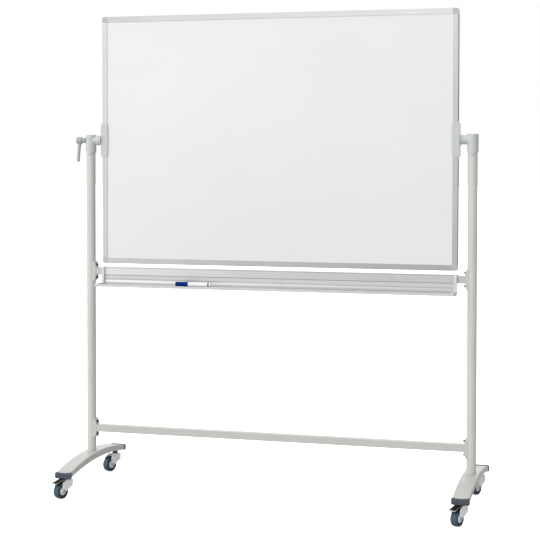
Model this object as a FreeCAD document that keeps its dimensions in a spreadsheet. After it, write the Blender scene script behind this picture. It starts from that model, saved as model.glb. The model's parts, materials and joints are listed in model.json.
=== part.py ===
import FreeCAD, Part
import math
import os
import re
import Sketcher

# A rolling whiteboard: a framed double-sided board that turns over between two posts on
# arched feet with casters, with a pen tray under it.  Millimetres.  X runs along the board,
# the front (writing side at rest) faces -Y, +Z is up, and the origin is on the floor,
# midway between the posts.

SIZES = {
    # board
    "board_width": 1500.0,
    "board_height": 1034.0,
    "board_depth": 23.6,
    "pivot_height": 1456.0,
    "rail_face": 22.0,
    "rail_wall": 2.0,
    "rail_round": 2.5,
    "panel_bite": 10.0,
    "sheet_thick": 0.5,
    "corner_size": 24.0,
    "corner_round": 9.0,
    "tongue_width": 7.5,
    "tongue_reach": 26.0,
    # pivot clamps on the side rails
    "clamp_height": 142.0,
    "clamp_side": 6.7,
    "clamp_cover": 25.0,
    "clamp_lip": 2.6,
    "clamp_round": 13.0,
    "boss_reach": 8.8,
    "boss_foot": 24.5,
    "boss_tip": 18.4,
    "boss_flare": 9.0,
    "screw_radius": 1.5,
    "screw_length": 8.0,
    "ring_outer": 20.4,
    "ring_width": 11.6,
    # pivot shafts and heads
    "shaft_radius": 8.0,
    "running_gap": 0.05,
    "body_gap": 0.3,
    "bush_outer": 11.0,
    "bush_length": 18.0,
    "clip_width": 1.5,
    "clip_gap": 0.4,
    "shaft_left_end": 823.0,
    "shaft_right_end": 820.0,
    "stud_radius": 4.0,
    "stud_thread": 30.0,
    "grub_radius": 3.0,
    "grub_drop": 42.0,
    "head_radius": 22.6,
    "head_top": 23.5,
    "head_skirt": 60.0,
    "head_vee": 16.0,
    "barrel_radius": 18.2,
    "head_blend": 5.0,
    "head_dome": 4.0,
    "post_depth_in_head": 23.0,
    # posts and crossbars
    "post_spacing": 1612.5,
    "post_radius": 19.0,
    "post_wall": 1.5,
    "post_foot": 138.5,
    "bar_size": 30.0,
    "bar_wall": 1.5,
    "bar_round": 2.5,
    "lower_bar_height": 238.0,
    "tray_bar_height": 905.0,
    "saddle_reach": 27.0,
    "saddle_width": 34.0,
    "saddle_flat": 36.0,
    "saddle_tall": 80.0,
    "saddle_screw": 27.0,
    "saddle_heel": 9.0,
    "saddle_toe": 21.0,
    "saddle_seat": 23.5,
    "saddle_bolt": 3.0,
    "anchor_bolt": 4.0,
    # feet
    "foot_width": 64.0,
    "foot_thick": 28.5,
    "foot_wall": 2.0,
    "foot_round": 3.5,
    "arch_radius": 1385.0,
    "sole_radius": 1680.0,
    "sole_share": 0.809,
    "foot_angle": 12.75,
    "cap_front_angle": 12.92,
    "cap_back_angle": 12.0,
    "cap_proud": 2.2,
    "cap_under": 0.6,
    "cap_side": 2.9,
    "cap_scoop": 60.0,
    "cap_lip": 304.5,
    "cap_round": 3.0,
    # tray
    "tray_half": 748.5,
    "tray_cap": 11.0,
    "tray_top": 922.6,
    "tray_shelf": 855.0,
    "tray_front": 105.5,
    "tray_face": 20.0,
    "cove_radius": 15.0,
    # casters
    "caster_track": 264.0,
    "caster_trail": 34.0,
    "caster_turn": 22.0,
    "fork_eye": 8.0,
    "race_radius": 12.0,
    "race_neck": 8.5,
    "wheel_radius": 31.0,
    "wheel_width": 28.0,
    "hub_radius": 19.0,
    "axle_radius": 4.0,
    "fork_gap": 1.7,
    "fork_plate": 2.4,
    "crown_top": 74.5,
    "kingpin_radius": 5.0,
    "fork_heel": 17.0,
    "pedal_pin": 2.0,
    "pedal_pin_forward": 29.0,
    "pedal_pin_height": 67.8,
    "pedal_reach": 73.0,
    "pedal_width": 30.0,
    # lock lever
    "lever_face": 829.2,
    "lever_out": 29.0,
    "lever_neck": 11.2,
    "lever_hub": 14.3,
    "lever_hub_half": 12.8,
    "lever_arm": 90.0,
    "lever_thick": 13.0,
    "stud_reach": 28.0,
    # marker
    "marker_left": 400.0,
    "marker_forward": 80.0,
    "marker_length": 151.0,
    "marker_cap_length": 54.0,
    "marker_barrel_radius": 8.6,
    "marker_cap_radius": 9.4,
    "marker_neck": 7.2,
}

doc = FreeCAD.newDocument("rolling_whiteboard")
sheet = doc.addObject("Spreadsheet::Sheet", "Sizes")
for row, (alias, size) in enumerate(SIZES.items(), start=1):
    sheet.set(f"A{row}", alias)
    sheet.set(f"B{row}", str(size))
    sheet.setAlias(f"B{row}", alias)
doc.recompute()

nodes = []
Z_UP = FreeCAD.Rotation()
ABOUT = FreeCAD.Rotation(FreeCAD.Vector(0, 0, 1), 180)
TO_PLUS_X = FreeCAD.Rotation(FreeCAD.Vector(0, 1, 0), 90)
TO_MINUS_X = FreeCAD.Rotation(FreeCAD.Vector(0, 1, 0), -90)
TO_PLUS_Y = FreeCAD.Rotation(FreeCAD.Vector(1, 0, 0), -90)


# ---------------------------------------------------------------- drawing helpers
def ex(formula):
    """A formula with its size names written as references to the sheet."""
    return re.sub(
        r"[a-z_]{4,}",
        lambda word: f"Sizes.{word.group()}" if word.group() in SIZES else word.group(),
        formula,
    )


def value(formula):
    return float(sheet.evalExpression(ex(formula)))


def place(obj, at, rotation=Z_UP):
    """Put an object at three formulas, turned by a rotation."""
    obj.Placement = FreeCAD.Placement(FreeCAD.Vector(), rotation)
    for letter, formula in zip("xyz", at):
        obj.setExpression(f"Placement.Base.{letter}", ex(formula))


def new_body(name):
    body = doc.addObject("PartDesign::Body", name)
    body.Label = name
    return body


def new_sketch(body, plane, offset="0"):
    """A sketch on an origin plane of its body, moved along the plane's normal."""
    sketch = body.newObject("Sketcher::SketchObject", f"{body.Name}_sketch")
    support = next(o for o in body.Origin.OriginFeatures if o.Role == f"{plane}_Plane")
    sketch.AttachmentSupport = [(support, "")]
    sketch.MapMode = "FlatFace"
    sketch.setExpression("AttachmentOffset.Base.z", ex(offset))
    return sketch


def dimension(sketch, kind, geometry, formula, point=None):
    """Add a dimension to a sketch and bind it to a formula."""
    parts = [kind, geometry] if point is None else [kind, geometry, point]
    index = sketch.addConstraint(Sketcher.Constraint(*parts, value(formula)))
    sketch.setExpression(f"Constraints[{index}]", ex(formula))


def arc_between(start, end, radius, turn):
    """The short arc from start to end; turn is +1 anticlockwise and -1 clockwise."""
    chord = end - start
    rise = math.sqrt(max(radius**2 - (chord.Length / 2) ** 2, 0.0))
    left = FreeCAD.Vector(-chord.y, chord.x, 0) / chord.Length
    centre = (start + end) / 2 + left * rise * turn
    first, last = (start, end) if turn > 0 else (end, start)
    angles = [math.atan2(p.y - centre.y, p.x - centre.x) for p in (first, last)]
    if angles[1] < angles[0]:
        angles[1] += 2 * math.pi
    circle = Part.Circle(centre, FreeCAD.Vector(0, 0, 1), radius)
    return Part.ArcOfCircle(circle, *angles)


def outline(sketch, corners):
    """Draw a closed outline.  A corner is (u, v) where a straight edge ends there, or
    (u, v, radius, turn) where an arc does; u, v and radius are formulas."""
    points = [FreeCAD.Vector(value(c[0]), value(c[1]), 0) for c in corners]
    edges = []
    for i, corner in enumerate(corners):
        start, end = points[i - 1], points[i]
        if len(corner) == 2:
            geometry = sketch.addGeometry(Part.LineSegment(start, end), False)
            edges.append((geometry, 1, 2))
        else:
            arc = arc_between(start, end, value(corner[2]), corner[3])
            geometry = sketch.addGeometry(arc, False)
            edges.append((geometry, 1, 2) if corner[3] > 0 else (geometry, 2, 1))
            dimension(sketch, "Radius", geometry, corner[2])
    for i, (geometry, _, last) in enumerate(edges):
        following, first, _ = edges[(i + 1) % len(edges)]
        sketch.addConstraint(Sketcher.Constraint("Coincident", geometry, last, following, first))
        dimension(sketch, "DistanceX", geometry, corners[i][0], last)
        dimension(sketch, "DistanceY", geometry, corners[i][1], last)


def rectangle(sketch, left, bottom, right, top):
    outline(sketch, [(left, bottom), (right, bottom), (right, top), (left, top)])


def circle(sketch, u, v, radius):
    centre = FreeCAD.Vector(value(u), value(v), 0)
    ring = Part.Circle(centre, FreeCAD.Vector(0, 0, 1), value(radius))
    geometry = sketch.addGeometry(ring, False)
    dimension(sketch, "Radius", geometry, radius)
    dimension(sketch, "DistanceX", geometry, u, 3)
    dimension(sketch, "DistanceY", geometry, v, 3)


def pad(body, sketch, length, both_ways=False, backwards=False):
    feature = body.newObject("PartDesign::Pad", f"{body.Name}_pad")
    feature.Profile = sketch
    feature.setExpression("Length", ex(length))
    feature.SideType = "Symmetric" if both_ways else "One side"
    feature.Reversed = backwards
    sketch.Visibility = False
    return feature


def pocket(body, sketch, length, both_ways=False, backwards=False):
    """Cut a sketch into its body, and make sure that something was cut."""
    doc.recompute()
    before = body.Shape.Volume
    feature = body.newObject("PartDesign::Pocket", f"{body.Name}_pocket")
    feature.Profile = sketch
    feature.setExpression("Length", ex(length))
    feature.SideType = "Symmetric" if both_ways else "One side"
    feature.Reversed = backwards
    doc.recompute()
    if body.Shape.Volume > before - 0.1:
        raise RuntimeError(f"{body.Name}: a pocket cuts nothing")
    return feature


def revolve(body, sketch, axis="V_Axis"):
    feature = body.newObject("PartDesign::Revolution", f"{body.Name}_turn")
    feature.Profile = sketch
    feature.ReferenceAxis = (sketch, [axis])
    feature.Angle = 360.0
    return feature


def groove(body, sketch):
    """Turn a sketch about its body's Z axis and cut it away."""
    feature = body.newObject("PartDesign::Groove", f"{body.Name}_groove")
    feature.Profile = sketch
    feature.ReferenceAxis = (sketch, ["V_Axis"])
    feature.Angle = 360.0


def round_edges(body, radius, chosen):
    """Fillet the edges of a body's tip that a test picks."""
    doc.recompute()
    tip = body.Tip
    names = [f"Edge{i}" for i, e in enumerate(tip.Shape.Edges, start=1) if chosen(e)]
    if not names:
        raise RuntimeError(f"{body.Name}: no edge to round")
    feature = body.newObject("PartDesign::Fillet", f"{body.Name}_round")
    feature.Base = (tip, names)
    feature.setExpression("Radius", ex(radius))
    return feature


def turned(name, profile):
    """A body turned about its own Z axis from a profile of (radius, height) corners."""
    body = new_body(name)
    sketch = new_sketch(body, "XZ")
    outline(sketch, profile)
    revolve(body, sketch)
    return body


def keep(obj, name=None):
    """Count an object as a sub-part."""
    obj.Label = name or obj.Label
    nodes.append(obj)
    return obj


def group(name, source, spots):
    """A node of identical pieces: one solid of the source at each spot."""
    links = []
    for i, (at, rotation) in enumerate(spots):
        link = doc.addObject("App::Link", f"{name}_{i}")
        link.LinkedObject = source
        place(link, at, rotation)
        links.append(link)
    compound = doc.addObject("Part::Compound", name)
    compound.Links = links
    return keep(compound, name)


def midpoint(edge):
    return edge.valueAt((edge.FirstParameter + edge.LastParameter) / 2)


# ---------------------------------------------------------------- board
LOW_EDGE = "pivot_height - board_height / 2"
HIGH_EDGE = "pivot_height + board_height / 2"
FLIP_OVER_X = FreeCAD.Rotation(FreeCAD.Vector(1, 0, 0), 180)
FLIP_OVER_Y = FreeCAD.Rotation(FreeCAD.Vector(0, 1, 0), 180)
CLAMP_SCREW_IN = "7"
CLAMP_SCREW_UP = "48"


def frame_rail(name, length, at, rotation, screw_heights=()):
    """An extruded channel: local X runs from the board's outer edge inwards."""
    body = new_body(name)
    sketch = new_sketch(body, "XY")
    outline(sketch, [
        ("rail_round", "-board_depth / 2", "rail_round", 1),
        ("rail_face", "-board_depth / 2"),
        ("rail_face", "-board_depth / 2 + rail_wall"),
        ("rail_wall", "-board_depth / 2 + rail_wall"),
        ("rail_wall", "board_depth / 2 - rail_wall"),
        ("rail_face", "board_depth / 2 - rail_wall"),
        ("rail_face", "board_depth / 2"),
        ("rail_round", "board_depth / 2"),
        ("0", "board_depth / 2 - rail_round", "rail_round", 1),
        ("0", "-board_depth / 2 + rail_round"),
    ])
    pad(body, sketch, length)
    for height in screw_heights:
        hole = new_sketch(body, "XZ")
        circle(hole, CLAMP_SCREW_IN, height, "screw_radius")
        pocket(body, hole, "board_depth", backwards=name.endswith("right"))
    place(body, at, rotation)
    keep(body)


def panel_layer(name, thick, y_low):
    """One rectangular layer of the panel, held in the rails on all four sides."""
    layer = doc.addObject("Part::Box", name)
    layer.setExpression("Length", ex("board_width - 2 * rail_face + 2 * panel_bite"))
    layer.setExpression("Height", ex("board_height - 2 * rail_face + 2 * panel_bite"))
    layer.setExpression("Width", ex(thick))
    place(layer, ("-(board_width / 2 - rail_face + panel_bite)", y_low,
                  f"{LOW_EDGE} + rail_face - panel_bite"))
    keep(layer, name)


def frame_corner():
    """A rounded corner piece with a tongue for each rail and a slot for the panel.
    Its outer corner is at the local origin, and the rails run along +X and +Z."""
    body = new_body("frame_corner_piece")
    block = new_sketch(body, "XZ")
    outline(block, [
        ("corner_round", "0", "corner_round", 1),
        ("corner_size", "0"),
        ("corner_size", "corner_size"),
        ("0", "corner_size"),
        ("0", "corner_round"),
    ])
    pad(body, block, "board_depth", both_ways=True)
    near, far = "rail_wall + 0.2", "rail_wall + 0.2 + tongue_width"
    tongues = new_sketch(body, "XZ")
    rectangle(tongues, "corner_size - 1", near, "corner_size + tongue_reach", far)
    rectangle(tongues, near, "corner_size - 1", far, "corner_size + tongue_reach")
    pad(body, tongues, "board_depth - 2 * rail_wall - 0.4", both_ways=True)
    slot = new_sketch(body, "XZ")
    panel_edge = "rail_face - panel_bite"
    rectangle(slot, panel_edge, panel_edge, "corner_size + 1", "corner_size + 1")
    pocket(body, slot, "board_depth - 2 * rail_wall", both_ways=True)
    return body


def pivot_clamp(name, at, rotation):
    """A shell that grips a side rail, with the boss of the pivot shaft on its outer side.
    Local X runs inwards from the rail's outer face, and the pivot is the local X axis."""
    body = new_body(name)
    plate = new_sketch(body, "XZ")
    low, high = "-clamp_height / 2", "clamp_height / 2"
    out, inner = "-clamp_side", "clamp_cover"
    outline(plate, [
        (f"{inner} - clamp_round", low),
        (inner, f"{low} + clamp_round", "clamp_round", 1),
        (inner, f"{high} - clamp_round"),
        (f"{inner} - clamp_round", high, "clamp_round", 1),
        (f"{out} + clamp_round", high),
        (out, f"{high} - clamp_round", "clamp_round", 1),
        (out, f"{low} + clamp_round"),
        (f"{out} + clamp_round", low, "clamp_round", 1),
    ])
    pad(body, plate, "board_depth + 2 * clamp_lip", both_ways=True)
    face = value("board_depth / 2 + clamp_lip")
    round_edges(body, "1.8", lambda e: abs(abs(midpoint(e).y) - face) < 0.01)
    boss = new_sketch(body, "XZ")
    outline(boss, [
        ("-clamp_side + 1", "0"),
        ("-clamp_side + 1", "boss_foot"),
        ("-clamp_side", "boss_foot"),
        ("-clamp_side - boss_reach", "boss_tip", "boss_flare", -1),
        ("-clamp_side - boss_reach", "0"),
    ])
    revolve(body, boss, "H_Axis")
    doc.recompute()
    # the boss is as wide as the shell is deep, so the slot for the rail is cut last
    slot = new_sketch(body, "XY")
    rectangle(slot, "0", "-board_depth / 2", "clamp_cover + 1", "board_depth / 2")
    pocket(body, slot, "clamp_height + 2", both_ways=True)
    bore = new_sketch(body, "YZ")
    circle(bore, "0", "0", "shaft_radius")
    pocket(body, bore, "clamp_side + boss_reach + 1")
    for height in (CLAMP_SCREW_UP, f"-{CLAMP_SCREW_UP}"):
        hole = new_sketch(body, "XZ")
        circle(hole, CLAMP_SCREW_IN, height, "screw_radius")
        pocket(body, hole, "board_depth", backwards=name.endswith("right"))
    place(body, at, rotation)
    keep(body)


def build_board():
    side = "board_width / 2"
    across = "board_width - 2 * corner_size"
    up = "board_height - 2 * corner_size"
    corner_end = f"{side} - corner_size"
    low_corner = f"{LOW_EDGE} + corner_size"
    holes = [f"board_height / 2 - corner_size {sign} {CLAMP_SCREW_UP}" for sign in "+-"]
    frame_rail("frame_rail_top", across, (f"-({corner_end})", "0", HIGH_EDGE), TO_PLUS_X)
    frame_rail("frame_rail_bottom", across, (corner_end, "0", LOW_EDGE), TO_MINUS_X)
    frame_rail("frame_rail_left", up, (f"-{side}", "0", low_corner), Z_UP, holes)
    frame_rail("frame_rail_right", up, (side, "0", low_corner), ABOUT, holes)

    core_half = "(board_depth / 2 - rail_wall - sheet_thick)"
    panel_layer("board_core", f"2 * {core_half}", f"-{core_half}")
    panel_layer("writing_sheet_front", "sheet_thick", f"-{core_half} - sheet_thick")
    panel_layer("writing_sheet_rear", "sheet_thick", core_half)

    group("frame_corners", frame_corner(), [
        ((f"-{side}", "0", LOW_EDGE), Z_UP),
        ((side, "0", LOW_EDGE), ABOUT),
        ((f"-{side}", "0", HIGH_EDGE), FLIP_OVER_X),
        ((side, "0", HIGH_EDGE), FLIP_OVER_Y),
    ])

    pivot_clamp("pivot_clamp_left", (f"-{side}", "0", "pivot_height"), Z_UP)
    pivot_clamp("pivot_clamp_right", (side, "0", "pivot_height"), ABOUT)
    screw = turned("clamp_screw", [
        ("0", "-screw_length"),
        ("screw_radius", "-screw_length"),
        ("screw_radius", "0"),
        ("2 * screw_radius", "0"),
        ("2 * screw_radius", "0.9"),
        ("1.2 * screw_radius", "1.8"),
        ("0", "1.8"),
    ])
    rear = "board_depth / 2 + clamp_lip"
    spots = [
        ((f"{sign} * ({side} - {CLAMP_SCREW_IN})", rear, f"pivot_height {up_down}"), TO_PLUS_Y)
        for sign in ("-1", "1")
        for up_down in (f"+ {CLAMP_SCREW_UP}", f"- {CLAMP_SCREW_UP}")
    ]
    group("pivot_clamp_screws", screw, spots)

    # the shafts start just clear of the rails and run out through the bosses
    start = f"{side} + 0.2"
    left_length = "(shaft_left_end - board_width / 2 - 0.2)"
    shaft_left = turned("pivot_shaft_left", [
        ("0", "0"),
        ("shaft_radius", "0"),
        ("shaft_radius", f"{left_length} - 0.8"),
        ("shaft_radius - 0.8", left_length),
        ("stud_radius + running_gap", left_length),
        ("stud_radius + running_gap", f"{left_length} - stud_thread"),
        ("0", f"{left_length} - stud_thread"),
    ])
    place(shaft_left, (f"-({start})", "0", "pivot_height"), TO_MINUS_X)
    keep(shaft_left)

    right_length = "(shaft_right_end - board_width / 2 - 0.2)"
    groove = f"({RIGHT_BUSH_IN} - board_width / 2 - 0.2 + clip_gap)"
    groove_end = f"{groove} + clip_width + 0.2"
    shaft_right = turned("pivot_shaft_right", [
        ("0", "0"),
        ("shaft_radius", "0"),
        ("shaft_radius", groove),
        ("shaft_radius - 1", groove),
        ("shaft_radius - 1", groove_end),
        ("shaft_radius", groove_end),
        ("shaft_radius", f"{right_length} - 0.8"),
        ("shaft_radius - 0.8", right_length),
        ("0", right_length),
    ])
    place(shaft_right, (start, "0", "pivot_height"), TO_PLUS_X)
    keep(shaft_right)

    clip = turned("pivot_retaining_clip", [
        ("shaft_radius - 1", "0"),
        ("shaft_radius + 2.2", "0"),
        ("shaft_radius + 2.2", "clip_width"),
        ("shaft_radius - 1", "clip_width"),
    ])
    place(clip, (f"{RIGHT_BUSH_IN} + clip_gap + 0.1", "0", "pivot_height"), TO_PLUS_X)
    keep(clip)

    ring = turned("friction_ring", [
        ("shaft_radius", "0"),
        ("ring_outer - 2", "0"),
        ("ring_outer", "2"),
        ("ring_outer", "ring_width - 1.5"),
        ("ring_outer - 1.5", "ring_width"),
        ("shaft_radius", "ring_width"),
    ])
    place(ring, (f"-({BOSS_END})", "0", "pivot_height"), TO_MINUS_X)
    keep(ring)


# ---------------------------------------------------------------- stand
POST_X = "post_spacing / 2"
BOSS_END = "board_width / 2 + clamp_side + boss_reach"
LEFT_BARREL_END = f"({BOSS_END} + ring_width + body_gap)"
RIGHT_BARREL_END = f"({BOSS_END} + body_gap)"
RIGHT_BUSH_IN = f"({RIGHT_BARREL_END} + 0.4 + bush_length)"


def build_post(name, sign, rotation):
    """A round tube, with a hole for each saddle screw on the side that faces the board."""
    body = new_body(name)
    rings = new_sketch(body, "XY", "post_foot")
    circle(rings, "0", "0", "post_radius")
    circle(rings, "0", "0", "post_radius - post_wall")
    pad(body, rings, "pivot_height - post_depth_in_head - post_foot")
    holes = new_sketch(body, "YZ")
    for bar in ("lower_bar_height", "tray_bar_height"):
        for side in "+-":
            circle(holes, "0", f"{bar} {side} saddle_screw", "saddle_bolt")
    pocket(body, holes, "post_radius + 1", backwards=True)
    place(body, (f"{sign} * {POST_X}", "0", "0"), rotation)
    keep(body)


def crossbar(name, height):
    """A square tube between the two saddles at one height."""
    body = new_body(name)
    half, turn = "bar_size / 2", "bar_round"
    section = new_sketch(body, "YZ")
    outline(section, [
        (f"-{half} + {turn}", f"-{half}", turn, 1),
        (f"{half} - {turn}", f"-{half}"),
        (half, f"-{half} + {turn}", turn, 1),
        (half, f"{half} - {turn}"),
        (f"{half} - {turn}", half, turn, 1),
        (f"-{half} + {turn}", half),
        (f"-{half}", f"{half} - {turn}", turn, 1),
        (f"-{half}", f"-{half} + {turn}"),
    ])
    inside = "bar_size / 2 - bar_wall"
    rectangle(section, f"-({inside})", f"-({inside})", inside, inside)
    pad(body, section, "post_spacing - 2 * saddle_reach", both_ways=True)
    place(body, ("0", "0", height))
    keep(body)


def saddle():
    """A cast block that hugs a post; local X runs from the post's axis to the crossbar."""
    body = new_body("saddle_piece")
    side = new_sketch(body, "XZ")
    flat, tall = "saddle_flat / 2", "saddle_tall / 2"
    outline(side, [
        ("saddle_heel", f"-{tall}"),
        ("saddle_toe", f"-{tall}"),
        ("saddle_reach", f"-{flat}"),
        ("saddle_reach", flat),
        ("saddle_toe", tall),
        ("saddle_heel", tall),
    ])
    pad(body, side, "saddle_width", both_ways=True)
    reach = value("saddle_reach")
    round_edges(body, "2.5", lambda e: abs(midpoint(e).x - reach) < 0.01)
    seat = new_sketch(body, "XY")
    circle(seat, "0", "0", "post_radius")
    pocket(body, seat, "saddle_tall + 2", both_ways=True)
    counterbore = new_sketch(body, "YZ", "saddle_seat")
    bores = new_sketch(body, "YZ")
    for side in ("saddle_screw", "-saddle_screw"):
        circle(counterbore, "0", side, "saddle_bolt * 1.8")
        circle(bores, "0", side, "saddle_bolt")
    pocket(body, counterbore, "saddle_reach", backwards=True)
    pocket(body, bores, "saddle_reach", backwards=True)
    return body


def arch(radius, crest, angle):
    """The point at an angle from upright on an arch with this radius and height of crest."""
    return f"({radius}) * sin({angle})", f"{crest} - ({radius}) * (1 - cos({angle}))"


def foot_outline(sketch, over, beneath, start, end):
    """A stretch of the foot's side outline, grown by a margin over and beneath it. The sole
    is flatter than the arch above it, so the foot is thinner at its ends."""
    top, crest = f"arch_radius + {over}", f"post_foot + {over}"
    sole, hollow = f"sole_radius - {beneath}", f"post_foot - foot_thick - {beneath}"
    outline(sketch, [
        (*arch(top, crest, start), top, 1),
        arch(sole, hollow, f"sole_share * ({start})"),
        (*arch(sole, hollow, f"sole_share * ({end})"), sole, -1),
        arch(top, crest, end),
    ])


def build_foot(name, sign):
    """An arched rectangular tube with its long edges rounded, bored for bolt and stems."""
    body = new_body(name)
    band = new_sketch(body, "YZ")
    foot_outline(band, "0", "0", "-foot_angle", "foot_angle")
    pad(body, band, "foot_width", both_ways=True)
    round_edges(body, "foot_round", lambda e: e.Length > value("arch_radius / 3"))
    hollow = new_sketch(body, "YZ")
    foot_outline(hollow, "(-foot_wall)", "(-foot_wall)", "-foot_angle - 1", "foot_angle + 1")
    pocket(body, hollow, "foot_width - 2 * foot_wall", both_ways=True)
    bolt = new_sketch(body, "XY", "post_foot + 1")
    circle(bolt, "0", "0", "anchor_bolt")
    pocket(body, bolt, "2 * foot_thick")
    stems = new_sketch(body, "XY", "post_foot - 1.6 * foot_thick")
    for side in ("caster_track", "-caster_track"):
        circle(stems, "0", side, "kingpin_radius")
    pocket(body, stems, "2 * foot_thick")
    place(body, (f"{sign} * {POST_X}", "0", "0"))
    keep(body)


def foot_cap(name, sign, rotation):
    """An end cap over the foot's end, with a hollowed back edge; built for the rear end."""
    body = new_body(name)
    band = new_sketch(body, "YZ")
    foot_outline(band, "cap_proud", "cap_under", "cap_back_angle", "cap_front_angle")
    pad(body, band, "foot_width + 2 * cap_side", both_ways=True)
    round_edges(body, "1.6 * cap_round", lambda e: "Circle" in e.Curve.TypeId)
    doc.recompute()
    front = max(body.Tip.Shape.Faces, key=lambda face: face.CenterOfMass.y)
    round_edges(body, "cap_round", lambda e: any(e.isSame(side) for side in front.Edges))
    tube = new_sketch(body, "YZ")
    foot_outline(tube, "0", "0", "cap_back_angle - 1", "foot_angle")
    pocket(body, tube, "foot_width", both_ways=True)
    scoop = new_sketch(body, "XY")
    circle(scoop, "0", "cap_lip - cap_scoop", "cap_scoop")
    pocket(body, scoop, "2 * post_foot", both_ways=True)
    place(body, (f"{sign} * {POST_X}", "0", "0"), rotation)
    keep(body)


def pivot_head(name, sign, rotation, barrel_end, stud_hole):
    """A tee: a sleeve over the post and a barrel towards the board (local +X)."""
    body = new_body(name)
    sleeve = new_sketch(body, "XY", "-head_skirt")
    circle(sleeve, "0", "0", "head_radius")
    pad(body, sleeve, "head_skirt + head_top")
    barrel = new_sketch(body, "YZ")
    circle(barrel, "0", "0", "barrel_radius")
    pad(body, barrel, f"{POST_X} - {barrel_end}")
    round_edges(body, "head_blend", lambda e: "BSpline" in e.Curve.TypeId)
    dome = new_sketch(body, "XZ")
    outline(dome, [
        ("head_radius - head_dome", "head_top", "head_dome", 1),
        ("head_radius - head_dome", "head_top + 2"),
        ("head_radius + 2", "head_top + 2"),
        ("head_radius + 2", "head_top - head_dome"),
        ("head_radius", "head_top - head_dome"),
    ])
    groove(body, dome)
    vee = new_sketch(body, "XZ")
    below, rim = "-head_skirt - 10", "-head_skirt"
    outline(vee, [
        ("-head_radius - 3", below),
        ("head_radius + 3", below),
        ("head_radius + 3", f"{rim} + head_vee"),
        ("0", rim),
        ("-head_radius - 3", f"{rim} + head_vee"),
    ])
    pocket(body, vee, "3 * head_radius", both_ways=True)
    socket = new_sketch(body, "XY", "-post_depth_in_head")
    circle(socket, "0", "0", "post_radius + 0.05")
    pocket(body, socket, "head_skirt")
    bore = new_sketch(body, "YZ", "-head_radius + 5")
    circle(bore, "0", "0", "bush_outer")
    pocket(body, bore, "4 * head_radius", backwards=True)
    grub = new_sketch(body, "XZ")
    circle(grub, "0", "-grub_drop", "grub_radius")
    pocket(body, grub, "2 * head_radius", backwards=name.endswith("right"))
    if stud_hole:
        stud = new_sketch(body, "YZ")
        circle(stud, "0", "0", "stud_radius + 0.4")
        pocket(body, stud, "2 * head_radius")
    place(body, (f"{sign} * {POST_X}", "0", "pivot_height"), rotation)
    keep(body)


def build_tray():
    """The pen tray: an extrusion hooked over the tray crossbar, and a cap at each end."""
    rail = new_body("tray_rail")
    section = new_sketch(rail, "YZ")
    face, cove = "-tray_face", "-tray_face + 0.6 - cove_radius"
    back, hook = "-bar_size / 2", "bar_size / 2 + 0.1"
    front, shelf = "-tray_front", "tray_shelf"
    step = "tray_bar_height - bar_size / 2 - 4"
    outline(section, [
        (f"{hook} + 2.5", "tray_top - 12"),
        (f"{hook} + 2.5", "tray_top"),
        (f"{face} + 2", "tray_top"),
        (face, "tray_top - 2", "2", 1),
        (face, f"{shelf} + 36.5"),
        (f"{face} + 1.4", f"{shelf} + 35.5"),
        (f"{face} + 1.4", f"{shelf} + 34"),
        (f"{face} + 0.6", f"{shelf} + 33"),
        (f"{face} + 0.6", f"{shelf} + cove_radius"),
        (cove, shelf, "cove_radius", -1),
        (f"{front} + 5", shelf),
        (f"{front} + 4", f"{shelf} + 2.5"),
        (f"{front} + 1", f"{shelf} + 2.5"),
        (front, f"{shelf} + 1.5", "1", 1),
        (front, f"{shelf} - 6.5"),
        (f"{front} + 1", f"{shelf} - 7.5", "1", 1),
        (f"{front} + 3", f"{shelf} - 7.5"),
        (f"{front} + 3", f"{shelf} - 2.5"),
        (cove, f"{shelf} - 2.5"),
        (f"{face} + 3.1", f"{shelf} + cove_radius", "cove_radius + 2.5", 1),
        (f"{face} + 3.1", step),
        (back, step),
        (back, "tray_top - 2.5"),
        (hook, "tray_top - 2.5"),
        (hook, "tray_top - 12"),
    ])
    pad(rail, section, "2 * (tray_half - tray_cap)", both_ways=True)
    keep(rail)

    for name, offset in (("tray_cap_left", "-tray_half"),
                         ("tray_cap_right", "tray_half - tray_cap")):
        cap = new_body(name)
        side = new_sketch(cap, "YZ", offset)
        bulge, over = "-tray_face - 9.5", "tray_top + 1"
        outline(side, [
            (hook, over),
            (f"{face} - 5", over),
            (f"{face} - 7", f"{over} - 2", "2", 1),
            (bulge, f"{shelf} + 33"),
            (bulge, f"{shelf} + 6.5"),
            (f"{bulge} - 3", f"{shelf} + 3.5", "3", -1),
            (f"{front} + 2.5", f"{shelf} + 3.5"),
            (f"{front} - 1", f"{shelf}", "3.5", 1),
            (f"{front} - 1", f"{shelf} - 5"),
            (f"{front} + 2.5", f"{shelf} - 8.5", "3.5", 1),
            (back, f"{shelf} - 12"),
            (back, "tray_top - 2.5"),
            (hook, "tray_top - 2.5"),
        ])
        pad(cap, side, "tray_cap")
        keep(cap)


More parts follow.
